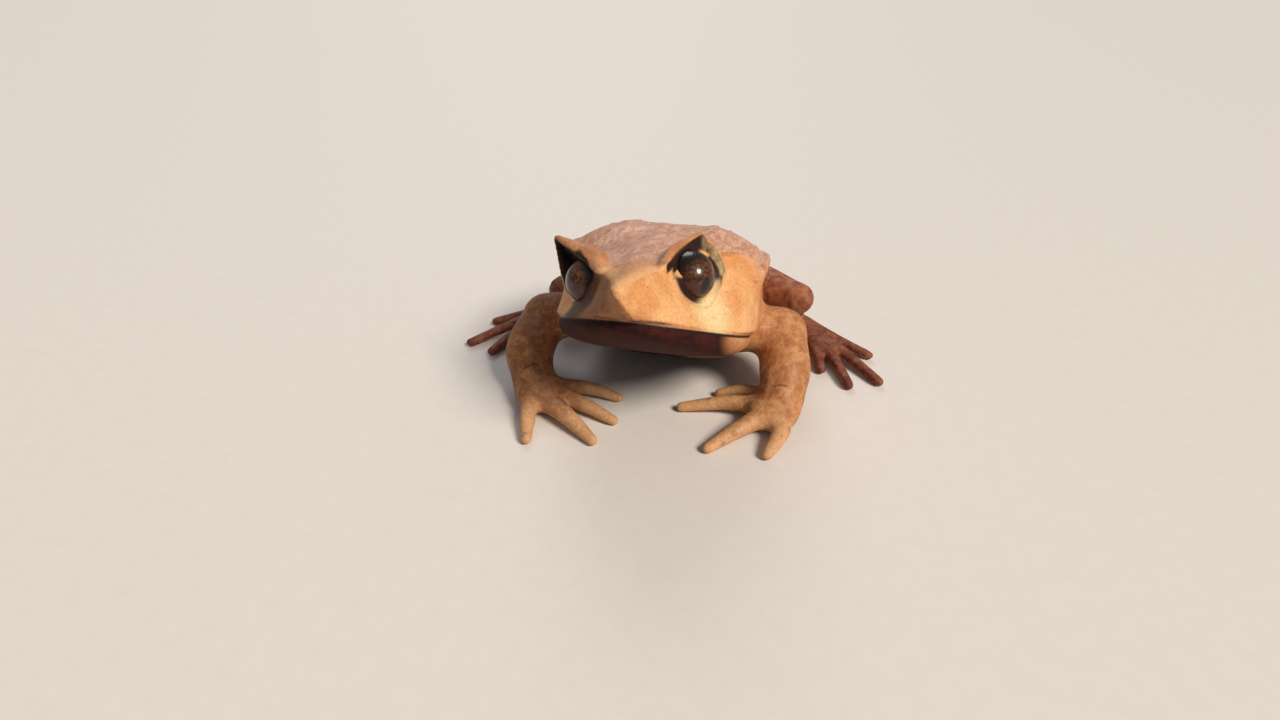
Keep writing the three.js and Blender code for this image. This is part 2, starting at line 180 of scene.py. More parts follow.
def trunk_fold(side, share, drop, first, last):
    rows = []
    for y in np.linspace(first, last, FOLD_STEPS):
        top, ridge, half = [trunk_measure(column, y) for column in (1, 2, 4)]
        ends = ease(first, first + FOLD_FRONT_TAPER, y) * ease(-last, -last + FOLD_REAR_TAPER, -y)
        height = lerp(top, ridge, drop) - FOLD_SUNK
        rows.append([side * share * half, y, height, FOLD_RADIUS * lerp(0.3, 1, ends)])
    return np.array(rows, float)


# The limbs are round flesh from joint to joint, and so are the fingers and toes. Each joint is
# [x, y, z, radius], with x counted outwards on both sides. Where a limb meets the next, a fold as
# soft as skin fills the corner. The frog's left is at +x.
SHOULDER = [13, -21.5, 14.5, 5.6]
ELBOW = {"left": [24.6, -18.6, 12, 4.7], "right": [26.4, -20.5, 11, 4.6]}
MID_FOREARM = {"left": [26.1, -26.4, 7.8, 5.1], "right": [27.2, -29.6, 7.6, 5.1]}
WRIST = {"left": [26, -31.8, 4.4, 4], "right": [24.6, -35.4, 4.3, 4]}
PALM = {"left": [24.6, -34.4, 2.9, 5.2], "right": [22.4, -38, 2.9, 5.2]}
FINGERS = {
    "left": [
        [[23.6, -30, 3.2, 1.9], [18, -27.6, 2.2, 1.45], [13.3, -27.5, 0.95, 1.05]],
        [[23, -33, 2.9, 2.1], [15, -32.8, 2.3, 1.6], [6.4, -34.3, 1, 1.1]],
        [[24, -35.6, 2.8, 2.3], [19.5, -40, 2.4, 1.85], [13.4, -46.4, 1, 1.15]],
        [[26, -36.4, 2.7, 2.3], [26.5, -40, 2.3, 1.8], [24.4, -46, 1, 1.15]],
    ],
    "right": [
        [[20.6, -35.4, 3.1, 1.9], [13, -33.4, 2.2, 1.45], [7, -33.7, 0.95, 1.05]],
        [[20.6, -37.6, 2.9, 2.1], [12.7, -39.5, 2.3, 1.6], [6, -41.8, 1, 1.1]],
        [[21.6, -39.6, 2.8, 2.3], [14.9, -44.1, 2.4, 1.85], [8.4, -48.8, 1, 1.15]],
        [[23.4, -40, 2.7, 2.1], [22.5, -45.2, 2.3, 1.65], [20.8, -51.2, 1, 1.1]],
    ],
}
HIP = [7, 15.5, 8.6, 6.6]
MID_THIGH = {"left": [18, 6.4, 10.2, 5.7], "right": [18, 6.4, 9.8, 5.7]}
KNEE = {"left": [27.6, -1.2, 11.8, 3.4], "right": [27.8, -3.4, 9, 3.6]}
MID_SHANK = {"left": [25.6, 7.5, 6.6, 4], "right": [25, 6.5, 6.4, 4]}
ANKLE = [17, 19.5, 3.2, 2.9]
INSTEP = {"left": [28, 5, 2.3, 2.6], "right": [28, 2, 2.3, 2.6]}
RIGHT_TOES_FORWARD = 3
TOES = [
    [[27, 2, 2.2, 1.7], [28.6, -2.2, 1.6, 1.3], [29, -6.4, 1, 1.15]],
    [[28.4, 2, 2.2, 1.8], [32.4, -5.4, 1.8, 1.35], [34.2, -13.6, 1, 1.15]],
    [[29.4, 2.8, 2.2, 1.9], [35.8, -7.2, 2, 1.4], [40, -18.8, 1, 1.15]],
    [[30, 4, 2.2, 2], [38, -5.2, 2, 1.45], [46.4, -16, 1, 1.15]],
    [[30, 5.4, 2.2, 1.9], [37.4, -0.2, 1.8, 1.35], [44.8, -5, 1, 1.15]],
]
PIECES_PER_LIMB = 30
PALM_FLATNESS, FOOT_FLATNESS, DIGIT_FLATNESS = 0.62, 0.88, 0.92
BODY_LIMB_SOFT, ELBOW_SOFT, PALM_SOFT = 0.5, 2.2, 1.6
KNEE_SOFT, FOOT_SOFT, DIGIT_SOFT, HIP_SOFT = 0.9, 1.0, 1.1, 1.6


def chain(side, joints):
    """A smooth line through joints: its points and radii, on the body's left or right side."""
    joints = np.array(joints, float) * [side, 1, 1, 1]
    gaps = np.linalg.norm(np.diff(joints[:, :3], axis=0), axis=1)
    places = np.concatenate([[0], np.cumsum(gaps)])
    steps = np.linspace(0, places[-1], PIECES_PER_LIMB + 1)
    return np.stack([along(np.c_[places, joints[:, k]], steps) for k in range(4)], axis=1)


def chain_distance(points, flatness=1.0):
    """Distance to a chain of round cones, as high as the flatness times their width."""

    def distance(x, y, z):
        nearest = np.full(x.shape, 2 * BAND)
        for a, b in zip(points[:-1], points[1:]):
            span = (b - a)[:3] / [1, 1, flatness]
            dx, dy, dz = x - a[0], y - a[1], (z - a[2]) / flatness
            share = clamp((dx * span[0] + dy * span[1] + dz * span[2]) / max(span @ span, 1e-9))
            off = (dx - share * span[0]) ** 2 + (dy - share * span[1]) ** 2 + (dz - share * span[2]) ** 2
            nearest = np.minimum(nearest, np.sqrt(off) - lerp(a[3], b[3], share))
        return nearest * lerp(1, flatness, 0.5)

    return distance


def add_chain(field, points, soft, flatness=1.0, room=2 * BAND):
    reach = points[:, 3:].max() + room
    low, high = points[:, :3].min(0) - reach, points[:, :3].max(0) + reach
    field.change(low, high, chain_distance(points, flatness), soft)


for side in (1, -1):
    for fold in FOLDS:
        add_chain(skin, trunk_fold(side, *fold), FOLD_SOFT)

legs = Field()
arms = Field()
SIDES = ((1, "left"), (-1, "right"))
for side, hand in SIDES:
    add_chain(arms, chain(side, [SHOULDER, ELBOW[hand]]), BODY_LIMB_SOFT)
    add_chain(arms, chain(side, [ELBOW[hand], MID_FOREARM[hand], WRIST[hand]]), ELBOW_SOFT)
    add_chain(arms, chain(side, [WRIST[hand], PALM[hand]]), PALM_SOFT, PALM_FLATNESS)
    for finger in FINGERS[hand]:
        add_chain(arms, chain(side, finger), DIGIT_SOFT, DIGIT_FLATNESS)
    add_chain(legs, chain(side, [HIP, MID_THIGH[hand], KNEE[hand]]), BODY_LIMB_SOFT)
    add_chain(legs, chain(side, [KNEE[hand], MID_SHANK[hand], ANKLE]), KNEE_SOFT)
    add_chain(legs, chain(side, [ANKLE, INSTEP[hand]]), FOOT_SOFT, FOOT_FLATNESS)
    for toe in TOES:
        forward = RIGHT_TOES_FORWARD if side < 0 else 0
        add_chain(legs, chain(side, np.array(toe) - [0, forward, 0, 0]), DIGIT_SOFT, DIGIT_FLATNESS)
skin.values = join(skin.values, legs.values, HIP_SOFT)

# The head is a flat wedge with a sharp edge from the snout over the eyes to the ears. It is
# measured across to the left, forward from the corners of the mouth, and up from the mouth's
# line. Above the mouth it leans a little, with its left side up.
MOUTH_CORNER = (0, -30, 17)
HEAD_PITCH = math.radians(24.5)
FACE_LEAN = math.radians(8)
LEAN_AXIS_UP, LEAN_ROUNDS = 2, 5
LIP_HALF, LIP_REACH, LIP_POWER, LIP_RISE = 19.5, 28.5, 1.75, 2.2
CROWN_HALF, CROWN_REACH, CROWN_POWER = 17.4, 34.5, 0.9
NOSE = ((0, 25.5, 8.6, 1.2), (0, 30, 7.7, 1.0), (0, 33.4, 7.1, 0.6))
KEEL = ((0, 33.2, 6.9, 0.5), (0, 31.2, 4.6, 0.6), (0, 28.2, 2.7, 0.4))
RIDGE_SOFT = 1.6
BROW_HEIGHT, SNOUT_TIP_HEIGHT, CROWN_HEIGHT = 13, 7.8, 18.2
BROW_SLOPE, CROWN_SLOPE, CROWN_BEND, NAPE_SLOPE = 0.24, 0.232, 0.0019, 0.12
HEAD_BACK, HEAD_NARROWING = -8, 0.0032
CHEEK_HOLLOW, MUZZLE_HOLLOW, TIP_HOLLOW = 1.5, 0.42, 0.3
MIDDLE_ROUNDING, ROOF_POWER, ROOF_SLOPE = 0.12, 2.2, 0.97
BROW_EDGE_SOFT, LIP_EDGE_SOFT, HEAD_BACK_SOFT, SHARP = 0.7, 0.5, 1, 0.1
HEAD_LOW, HEAD_HIGH = (-23, -60.5, 9), (23, -14, 39.5)


def lean_at(forward, up):
    return FACE_LEAN * ease(-10, 4, forward) * ease(1.5, 8, up)


def head_point(across, forward, up):
    lean = lean_at(forward, up)
    over_axis = up - LEAN_AXIS_UP
    risen = LEAN_AXIS_UP + over_axis * np.cos(lean) + across * np.sin(lean)
    return np.array([
        across * np.cos(lean) - over_axis * np.sin(lean),
        MOUTH_CORNER[1] - forward * math.cos(HEAD_PITCH) + risen * math.sin(HEAD_PITCH),
        MOUTH_CORNER[2] + forward * math.sin(HEAD_PITCH) + risen * math.cos(HEAD_PITCH),
    ])


def head_place(x, y, z):
    """The other way: where a point of the frame is in the head's own measures. The lean changes
    with the height that it gives, so it is found in a few rounds."""
    back, rise = y - MOUTH_CORNER[1], z - MOUTH_CORNER[2]
    forward = rise * math.sin(HEAD_PITCH) - back * math.cos(HEAD_PITCH)
    risen = rise * math.cos(HEAD_PITCH) + back * math.sin(HEAD_PITCH)
    over_axis = risen - LEAN_AXIS_UP
    up = risen
    for _ in range(LEAN_ROUNDS):
        lean = lean_at(forward, up)
        across = x * np.cos(lean) + over_axis * np.sin(lean)
        up = LEAN_AXIS_UP + over_axis * np.cos(lean) - x * np.sin(lean)
    return across, forward, up


def lip_height(forward):
    return LIP_RISE * (clamp(forward, 0, LIP_REACH) / LIP_REACH) ** 1.5


def brow_height(forward):
    slope = SNOUT_TIP_HEIGHT + BROW_SLOPE * (CROWN_REACH - forward)
    return 0.5 * (slope + BROW_HEIGHT - np.hypot(slope - BROW_HEIGHT, 0.5))


def crown_height(forward):
    to_snout = CROWN_SLOPE * forward + CROWN_BEND * forward**2
    fall = np.where(forward > 0, to_snout, -NAPE_SLOPE * forward)
    return np.maximum(CROWN_HEIGHT - fall, brow_height(forward))


def outline_share(across, forward, height):
    """How far out a point is, as a share of the way to the head's wall at a share of its height."""
    hollow = lerp(CHEEK_HOLLOW, MUZZLE_HOLLOW, ease(2, 13, forward))
    hollow = hollow + TIP_HOLLOW * ease(22, 32, forward)
    share = clamp(height, 1e-4, 1) ** hollow
    width = lerp(LIP_HALF, CROWN_HALF, share) * (1 - HEAD_NARROWING * clamp(-forward, 0, 14) ** 2)
    reach = lerp(LIP_REACH, CROWN_REACH, share)
    power = lerp(LIP_POWER, CROWN_POWER, share)
    side = (np.sqrt(across**2 + MIDDLE_ROUNDING) / width) ** power
    return (side + (np.maximum(forward, 0) / reach) ** power) ** (1 / power)


def head_distance(x, y, z):
    across, forward, up = head_place(x, y, z)
    low, brow, crown = lip_height(forward), brow_height(forward), crown_height(forward)
    block = skin.block(HEAD_LOW, HEAD_HIGH)
    wall = steady(outline_share(across, forward, (up - low) / (brow - low)) - 1, block)
    out = clamp(outline_share(across, forward, np.ones_like(up)), 0, 1.15)
    roof = (up - (crown - (crown - brow) * out**ROOF_POWER)) * ROOF_SLOPE
    wedge = meet(meet(wall, roof, BROW_EDGE_SOFT), low - up, LIP_EDGE_SOFT)
    return meet(wedge, HEAD_BACK - forward, HEAD_BACK_SOFT)


head = Field()
head.change(HEAD_LOW, HEAD_HIGH, head_distance, SHARP)
for ridge in (NOSE, KEEL):
    add_chain(head, np.array([[*head_point(*place[:3]), place[3]] for place in ridge]), RIDGE_SOFT)

# The lower jaw is a shallow bowl of flesh, whose rim lies a little inside the lip and is pressed
# into it. The throat is the bowl's underside, deepest at the back.
JAW_DEPTH, JAW_INSET, JAW_BACK = 4.7, 0.7, -7
JAW_RIM_UNDER_LIP, JAW_RIM_PRESSED = 0.35, 0.3
JAW_FRONT_RISE, JAW_SIDE_POWER, JAW_FLOOR_POWER = 0.62, 4.2, 2.667
JAW_RIM_SOFT, JAW_BACK_SOFT = 0.3, 1


def jaw_distance(x, y, z):
    across, forward, up = head_place(x, y, z)
    top = lip_height(forward) - JAW_RIM_UNDER_LIP
    depth = JAW_DEPTH * np.sqrt(1 - JAW_FRONT_RISE * clamp(forward / LIP_REACH) ** 2)
    side = (np.abs(across) / (LIP_HALF - JAW_INSET)) ** LIP_POWER
    front = (np.maximum(forward, 0) / (LIP_REACH - JAW_INSET)) ** LIP_POWER
    drop = np.maximum((top - up) / depth, 0)
    bowl = (side + front) ** (JAW_SIDE_POWER / LIP_POWER) + drop**JAW_FLOOR_POWER - 1
    wall = steady(bowl, skin.block(HEAD_LOW, HEAD_HIGH))
    rimmed = meet(wall, up - top - JAW_RIM_PRESSED, JAW_RIM_SOFT)
    return meet(rimmed, JAW_BACK - forward, JAW_BACK_SOFT)


jaw = Field()
jaw.change(HEAD_LOW, HEAD_HIGH, jaw_distance, SHARP)

# Each upper lid is drawn out into a soft pointed flap, the horn, that stands up over the eye.
# The lower lid wraps the ball from below and behind.
EYE_RADIUS = 4.6
EYE_ACROSS, EYE_FORWARD, EYE_UP = 8.8, 15.5, 9.1
GAZE = (0.72, -0.69, -0.02)
LID_THICKNESS, LID_OPENING, BROW_OPENING = 0.8, 2.6, 1.9
LID_ROOM, LID_SOFT, LID_RIM_SOFT, LID_CORNER_SOFT = 9, 1.6, 0.6, 0.8
BROW_WAY = (1, 1.2, 1.3)
HORN_ROOT = ((5.2, 22, 10.6), (7, 16.6, 13.9), (11.2, 10.4, 12.6), (13.6, 13, 7.8))
HORN_TIP = {"left": (10.6, 11, 16.5), "right": (16.4, 11, 17.6)}
HORN_SWELL = {"left": 1.6, "right": 0.3}
HORN_ROOT_THICKNESS, HORN_TIP_THICKNESS = 1.7, 0.8
SWELL_SHAPE, SWELL_START = 6.75, 0.4
HORN_FIBRES, HORN_FIBRE_POINTS, HORN_FIBRE_END = 40, 6, 0.95
FIBRE_SOFT, FIBRE_ROOM = 0.2, 2
HORN_FOOT_SOFT, JAW_SOFT, SHOULDER_SOFT, NECK_SOFT = 1.2, 0.25, 1.8, 1.5


def eye_centre(side):
    return head_point(side * EYE_ACROSS, EYE_FORWARD, EYE_UP)


def gaze(side):
    line = np.array([side * GAZE[0], *GAZE[1:]])
    return line / np.linalg.norm(line)


def dot(line, *parts):
    return sum(a * b for a, b in zip(line, parts))


def horn_fibres(side, hand):
    """Lines that fan from the root of a horn, which goes over the eye and round behind it, to
    its tip. The far edge swells a little on its way."""
    last = len(HORN_ROOT) - 1
    places = np.linspace(0, last, last + 1)
    measures = np.array(HORN_ROOT).T
    for share in np.linspace(0.0, 1.0, HORN_FIBRES):
        root = np.array([along(np.c_[places, measure], last * share) for measure in measures])
        rows = []
        for t in np.linspace(0, HORN_FIBRE_END, HORN_FIBRE_POINTS):
            place = lerp(root, np.array(HORN_TIP[hand]), t)
            swell = HORN_SWELL[hand] * SWELL_SHAPE * t * (1 - t) ** 2
            place[0] += swell * ease(SWELL_START, 1, share)
            thick = lerp(HORN_ROOT_THICKNESS, HORN_TIP_THICKNESS, t)
            rows.append([*head_point(side * place[0], *place[1:]), thick / 2])
        yield np.array(rows)


def lid_distance(side):
    """The shell round one eye, open before the eye and under the horn."""
    centre, look = eye_centre(side), gaze(side)
    browward = np.array((EYE_ACROSS, EYE_FORWARD, EYE_UP)) + BROW_WAY
    brow_line = head_point(side * browward[0], *browward[1:]) - centre
    brow_line /= np.linalg.norm(brow_line)

    def distance(x, y, z):
        off = (x - centre[0], y - centre[1], z - centre[2])
        ball = np.sqrt(dot(off, *off)) - EYE_RADIUS - LID_THICKNESS
        before, above = dot(look, *off) - LID_OPENING, dot(brow_line, *off) - BROW_OPENING
        return meet(ball, meet(before, above, LID_CORNER_SOFT), LID_RIM_SOFT)

    return distance


horns = Field()
for side, hand in SIDES:
    horn = Field()
    for fibre in horn_fibres(side, hand):
        add_chain(horn, fibre, FIBRE_SOFT, room=FIBRE_ROOM)
    horns.values = np.minimum(horns.values, horn.values)
    centre = eye_centre(side)
    head.change(centre - LID_ROOM, centre + LID_ROOM, lid_distance(side), LID_SOFT)
head.values = join(head.values, horns.values, HORN_FOOT_SOFT)
head.values = join(head.values, jaw.values, JAW_SOFT)
skin.values = join(join(skin.values, arms.values, SHOULDER_SOFT), head.values, NECK_SOFT)

# A fold of skin runs from behind each eye along the edge of the crown to the corner of the
# shoulder, where it thins out.
CROWN_FOLD = ((13.2, 8.5, 13.2), (15.4, 4, 13.4), (16.9, 0, 13.6), (17.8, -4, 13.8))
CROWN_FOLD_RADIUS, CROWN_FOLD_SOFT = 0.55, 1.1
SHOULDER_CORNER = (20.4, -23.5, 28.7, 0.4)
for side in (1, -1):
    fold = [[*head_point(side * a, f, u), CROWN_FOLD_RADIUS] for a, f, u in CROWN_FOLD]
    corner = [side * SHOULDER_CORNER[0], *SHOULDER_CORNER[1:]]
    add_chain(skin, chain(1, [*fold, corner]), CROWN_FOLD_SOFT)

# The mouth is shut: its line runs under the lip's edge from corner to corner, and turns down
# behind them. A crease marks the back of the head, nostrils lie before the eyes, and each eye
# has its socket, a little smaller than the ball.
MOUTH_RADIUS, MOUTH_END_RADIUS, MOUTH_POINTS, MOUTH_SOFT = 0.5, 0.1, 90, 0.6
MOUTH_INSET, MOUTH_UNDER_LIP = 0.3, 0.25
MOUTH_END_INSET, MOUTH_END_BEHIND, MOUTH_END_DOWN = 0.2, 3.4, 1.3
NAPE_HALF, NAPE_FORWARD, NAPE_POINTS, NAPE_SOFT = 9.5, -4.2, 24, 0.9
NAPE_BEND, NAPE_DROP, NAPE_OVER_CROWN = 1.2, 2.2, 0.35
NAPE_RADIUS, NAPE_END_RADIUS = 0.45, 0.05
NOSTRIL = (3.1, 26.6, 7.2)
NOSTRIL_RADIUS, NOSTRIL_SOFT = 0.5, 0.4
SOCKET_INSET, SOCKET_ROOM, SOCKET_SOFT = 0.7, 7, 0.5
FLOOR_SOFT = 0.3


def mouth_line():
    end = LIP_HALF - MOUTH_END_INSET
    rows = [[side * end, -MOUTH_END_BEHIND, -MOUTH_END_DOWN] for side in (1, -1)]
    power = 2 / LIP_POWER
    for turn in np.linspace(0, math.pi, MOUTH_POINTS):
        sideways = math.copysign(abs(math.cos(turn)) ** power, math.cos(turn))
        forward = (LIP_REACH - MOUTH_INSET) * math.sin(turn) ** power
        height = lip_height(forward) - MOUTH_UNDER_LIP
        rows.insert(-1, [(LIP_HALF - MOUTH_INSET) * sideways, forward, height])
    points = [[*head_point(*row), MOUTH_RADIUS] for row in rows]
    points[0][3] = points[-1][3] = MOUTH_END_RADIUS
    return np.array(points)


def nape_line():
    points = []
    for turn in np.linspace(-1, 1, NAPE_POINTS):
        forward = NAPE_FORWARD + NAPE_BEND * turn**2
        height = crown_height(np.array(forward)) - NAPE_DROP * abs(turn) ** 2.2 + NAPE_OVER_CROWN
        radius = NAPE_RADIUS * (1 - turn**4) + NAPE_END_RADIUS
        points.append([*head_point(NAPE_HALF * turn, forward, height), radius])
    return np.array(points)


def carve(points, soft):
    """Sinks a groove of a chain's radius into the skin."""
    deeper = Field()
    add_chain(deeper, points, SHARP)
    skin.values = meet(skin.values, -deeper.values, soft)


def outside_socket(side):
    centre = eye_centre(side)

    def distance(x, y, z):
        off = (x - centre[0], y - centre[1], z - centre[2])
        return EYE_RADIUS - SOCKET_INSET - np.sqrt(dot(off, *off))

    return distance


carve(mouth_line(), MOUTH_SOFT)
carve(nape_line(), NAPE_SOFT)
for side in (1, -1):
    nostril = [*head_point(side * NOSTRIL[0], *NOSTRIL[1:]), NOSTRIL_RADIUS]
    carve(np.array([nostril, nostril]), NOSTRIL_SOFT)
    centre = eye_centre(side)
    skin.change(centre - SOCKET_ROOM, centre + SOCKET_ROOM, outside_socket(side), SOCKET_SOFT, how=meet)
skin.values = meet(skin.values, np.broadcast_to(-GRID[2], skin.values.shape), FLOOR_SOFT)

# The skin itself is one thin shell of small four-sided faces, drawn where the field crosses
# nought, and evened out a little so that no trace of the grid is left.
RELAX_ROUNDS, RELAX_SHARE = 3, 0.5
FLAT_ON_FLOOR = 0.12


def surface_of(values):
    """Draws the surface where the field crosses nought: one point for each grid cell that it
    passes, in the middle of its crossings, and a quad round each grid line that it crosses."""
    inside = values < 0
    count = sum(
        inside[i:i - 1 or None, j:j - 1 or None, k:k - 1 or None].astype(np.int8)
        for i in (0, 1) for j in (0, 1) for k in (0, 1)
    )
    cells = np.argwhere((count > 0) & (count < 8))
    number = np.full(count.shape, -1, np.int64)
    number[tuple(cells.T)] = np.arange(len(cells))
    corners = [(i, j, k) for i in (0, 1) for j in (0, 1) for k in (0, 1)]
    at = {c: values[tuple((cells + c).T)].astype(float) for c in corners}
    total = np.zeros((len(cells), 3))
    hits = np.zeros(len(cells))
    for a in corners:
        for axis in range(3):
            if a[axis]:
                continue
            b = tuple(v + (n == axis) for n, v in enumerate(a))
            crossed = (at[a] < 0) != (at[b] < 0)
            share = np.where(crossed, at[a] / np.where(crossed, at[a] - at[b], 1), 0)
            for n in range(3):
                total[:, n] += crossed * (share if n == axis else a[n])
            hits += crossed
    total /= hits[:, None]
    points = np.stack(
        [lines[cells[:, n]] + total[:, n] * np.diff(lines)[cells[:, n]] for n, lines in enumerate(GRID)],
        axis=1,
    )
    quads = []
    for axis in range(3):
        u, v = (axis + 1) % 3, (axis + 2) % 3
        first = np.take(inside, range(inside.shape[axis] - 1), axis)
        second = np.take(inside, range(1, inside.shape[axis]), axis)
        crossed = np.argwhere(first != second)
        out = first[tuple(crossed.T)]
        ring = []
        for du, dv in ((1, 1), (0, 1), (0, 0), (1, 0)):
            cell = crossed.copy()
            cell[:, u] -= du
            cell[:, v] -= dv
            ring.append(number[tuple(cell.T)])
        ring = np.stack(ring, axis=1)
        quads.append(np.where(out[:, None], ring, ring[:, ::-1]))
    return points, np.concatenate(quads)


def relax(points, quads, rounds, share):
    """Evens the spacing of the points a little. The flats on the floor stay level."""
    edges = np.concatenate([quads[:, [k, (k + 1) % 4]] for k in range(4)])
    hits = sum(np.bincount(edges[:, k], minlength=len(points)) for k in (0, 1))
    still = points[:, 2] < FLAT_ON_FLOOR
    for _ in range(rounds):
        total = np.stack([
            np.bincount(edges[:, 0], points[edges[:, 1], n], len(points))
            + np.bincount(edges[:, 1], points[edges[:, 0], n], len(points))
            for n in range(3)
        ], axis=1)
        moved = total / hits[:, None]
        moved[still, 2] = points[still, 2]
        points = lerp(points, moved, share)
    return points


def normals_of(points, quads):
    a, b, c, d = [points[quads[:, k]] for k in range(4)]
    faces = np.cross(c - a, d - b)
    total = np.stack([
        sum(np.bincount(quads[:, k], faces[:, n], len(points)) for k in range(4)) for n in range(3)
    ], axis=1)
    return total / np.maximum(np.linalg.norm(total, axis=1), 1e-9)[:, None]


def read(field, points):
    """A field's distance at points between the grid's lines."""
    place = []
    for n, lines in enumerate(GRID):
        i = np.clip(np.searchsorted(lines, points[:, n]) - 1, 0, len(lines) - 2)
        place.append((i, clamp((points[:, n] - lines[i]) / (lines[i + 1] - lines[i]))))
    total = np.zeros(len(points))
    for corner in np.ndindex(2, 2, 2):
        weight = np.ones(len(points))
        for far, (_, share) in zip(corner, place):
            weight *= share if far else 1 - share
        total += weight * field.values[tuple(i + far for far, (i, _) in zip(corner, place))]
    return total


points, quads = surface_of(skin.values)
points = relax(points, quads, RELAX_ROUNDS, RELAX_SHARE)
normals = normals_of(points, quads)
across, forward, up = head_place(*points.T)
on_legs = 1 - ease(-0.3, 1.2, read(legs, points))
on_arms = 1 - ease(-0.3, 1.2, read(arms, points))
on_head = 1 - ease(-0.3, 1.6, read(head, points))
on_horns = 1 - ease(0.1, 0.9, read(horns, points))

# Small blunt warts stand up from the skin of the flanks, the back and the legs, none under the
# body, and a crease crosses the top of each wrist. Both are pushed out of or into the shell.
WART_COUNT, WART_SEED = 240, 11
WART_RADIUS, WART_HEIGHT = (0.4, 0.85), 0.26
WRIST_CREASE_DEPTH, WRIST_CREASE_WIDTH = 0.15, 0.34
WRIST_CREASE_UP_ARM, WRIST_CREASE_BEND = 0.9, 0.12

over_floor = ease(0.3, 1.2, points[:, 2])
rng = np.random.default_rng(WART_SEED)
rough_skin = over_floor * (1 - on_head) * (1 - 0.75 * on_arms) * ease(-0.6, 0.2, normals[:, 2])
chance = rough_skin / rough_skin.sum()
rise = np.zeros(len(points))
for seat in rng.choice(len(points), WART_COUNT, replace=False, p=chance):
    radius = rng.uniform(*WART_RADIUS)
    off = np.sum((points - points[seat]) ** 2, axis=1) / radius**2
    rise = np.maximum(rise, WART_HEIGHT * radius * np.exp(-1.6 * off))
wart = clamp(rise / (0.6 * WART_HEIGHT))

wrist_line = np.zeros(len(points))
for side, hand in SIDES:
    wrist = np.array(WRIST[hand][:3]) * [side, 1, 1]
    arm = np.array(MID_FOREARM[hand][:3]) * [side, 1, 1] - wrist
    arm /= np.linalg.norm(arm)
    beside = np.cross(arm, (0, 0, 1))
    beside /= np.linalg.norm(beside)
    sideways = (points - wrist) @ beside
    past = (points - wrist) @ arm - WRIST_CREASE_UP_ARM + WRIST_CREASE_BEND * sideways**2
    near = 1 - ease(0.8, 3.2, np.abs(sideways + 0.6))
    near *= 1 - ease(4.5, 5.5, np.linalg.norm(points - wrist, axis=1))
    near *= ease(-0.1, 0.4, normals[:, 2])
    wrist_line = np.maximum(wrist_line, near * np.exp(-((past / WRIST_CREASE_WIDTH) ** 2)))
points = points + normals * (rise - WRIST_CREASE_DEPTH * wrist_line)[:, None]

mesh = bpy.data.meshes.new("skin")
mesh.from_pydata((points * MM).tolist(), [], quads.tolist())
mesh.polygons.foreach_set("use_smooth", np.ones(len(quads), bool))
frog = bpy.data.objects.new("skin", mesh)
bpy.context.scene.collection.objects.link(frog)

# The skin's colours: tan and orange on the face and arms, cream round the left eye as painted
# light on the lit left cheek, rose brown on the back, paler and pinker as painted sheen where it
# faces up, with a moist sheen from its coat, reddish brown on the legs, maroon under the jaw
# deepened with painted shade, near black in the hollow of each horn. Each marking is worked out
# on the skin's points and painted by nodes.
HOLLOW_MIDDLE = (12, 16.5, 13)
HORN_FOOT_FORWARD, HORN_FOOT_ACROSS = (10, 16.6, 22), (10.5, 7, 5.2)
TAN_CORNER_START, TAN_CORNER_FULL = 13, 17
LIT_CHEEK_MIDDLE, LIT_CHEEK_REACH = (13, 15.5, 4.2), 5.6
LID_CREASE_RADIUS, LID_CREASE_WIDTH = 6.2, 0.4
EYE_SHADE_FULL, EYE_SHADE_END = 6.5, 11


def of_own_side(make):
    """What make gives for the frog's left or right, for each point the one of its own side."""
    return np.where((across > 0)[:, None], make(1), make(-1))


def away(places, middle):
    return np.linalg.norm(places - middle, axis=1)


def towards(lines):
    """How far the skin faces along lines, from minus one to one."""
    return np.sum(normals * lines, axis=1)


# Heights over the lip and the brow, the distance from the eye, and how far before it a point is.
lip, brow = lip_height(forward), brow_height(forward)
over_lip, under_lip, over_brow = up - lip, lip - up, up - brow
below_lip = ease(-0.1, 0.7, under_lip)
eye_off = points - of_own_side(eye_centre)
eye_far = np.linalg.norm(eye_off, axis=1)
before_eye = np.sum(eye_off * of_own_side(gaze), axis=1)
under_eye = 1 - ease(-2.5, 0.5, up - EYE_UP)

# Near black on the lids: beside the brow over each ball, and in the hollow of the horn, but
# not on the horn's upper side.
horn_foot = np.abs(across) - np.interp(forward, HORN_FOOT_FORWARD, HORN_FOOT_ACROSS)
to_hollow = of_own_side(lambda side: head_point(side * HOLLOW_MIDDLE[0], *HOLLOW_MIDDLE[1:])) - points
faces_hollow = towards(to_hollow) / np.linalg.norm(to_hollow, axis=1)
head_upward = head_point(0, 0, 1) - head_point(0, 0, 0)
turned_up = ease(0.35, 0.7, normals @ head_upward) * (1 - ease(2.2, 3.6, horn_foot))
in_hollow = on_horns * ease(-0.05, 0.3, faces_hollow) * (1 - turned_up)
brow_side = ease(-4.5, -1.5, up - EYE_UP + 0.5 * (forward - EYE_FORWARD))
brow_side = brow_side * ease(-0.1, 0.3, towards(of_own_side(gaze)))
brow_side = brow_side * np.maximum(ease(-0.4, 0.5, horn_foot), 1 - ease(-1.2, -0.4, over_brow))
lid_shade = (1 - ease(5.3, 6.5, eye_far)) * brow_side * (1 - turned_up)
lid_rim = (1 - ease(0.3, 0.9, np.abs(before_eye - LID_OPENING))) * (1 - ease(5.4, 6.1, eye_far))
lid_rim = lid_rim * under_eye * (1 - ease(0.5, 2.5, forward - EYE_FORWARD))
lid_crease = np.exp(-(((eye_far - LID_CREASE_RADIUS) / LID_CREASE_WIDTH) ** 2))
lid_crease = lid_crease * under_eye * ease(0.5, 2, before_eye)
